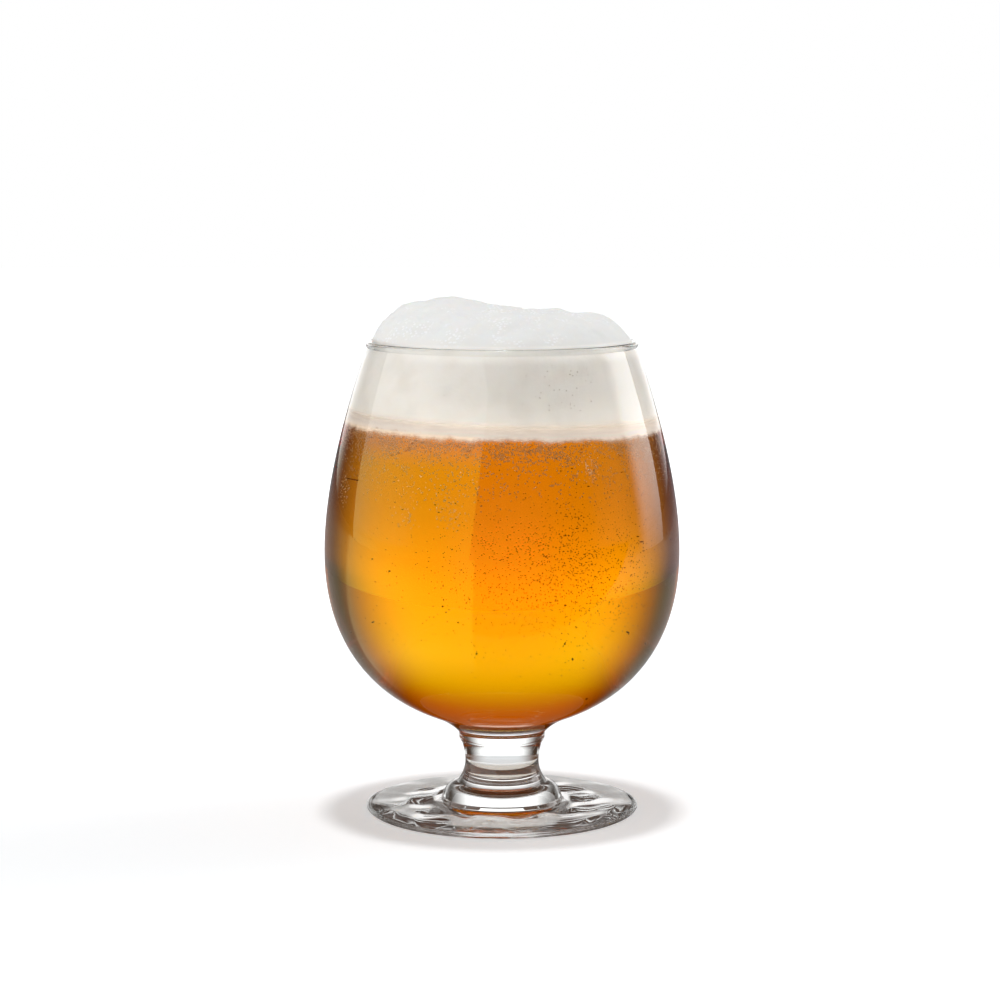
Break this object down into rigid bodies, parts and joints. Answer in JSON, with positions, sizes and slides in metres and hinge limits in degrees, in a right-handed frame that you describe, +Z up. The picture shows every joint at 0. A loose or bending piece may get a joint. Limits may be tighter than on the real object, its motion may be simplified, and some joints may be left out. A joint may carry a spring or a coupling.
{
  "type": "beer glass",
  "caption": "Stemmed beer glass with a round bowl, short waisted stem, cushion knop and flat foot, filled with amber beer under a mound of froth.",
  "frame": {"origin": "on the table, at the axis of the glass, in the middle of the foot's resting ring", "axes": "+Z up along the axis of the glass; +X to the right as pictured; the froth's higher lobe lies towards -X"},
  "size_m": [0.09, 0.09, 0.1308],
  "materials": {
    "clear_glass": "polished",
    "amber_beer": "gloss",
    "white_froth": "matte"
  },
  "bodies": {
    "root": {"bowl": "clear_glass", "stem": "clear_glass", "knop": "clear_glass", "foot": "clear_glass", "beer": "amber_beer", "foam_head": "white_froth"}
  },
  "joints": []
}
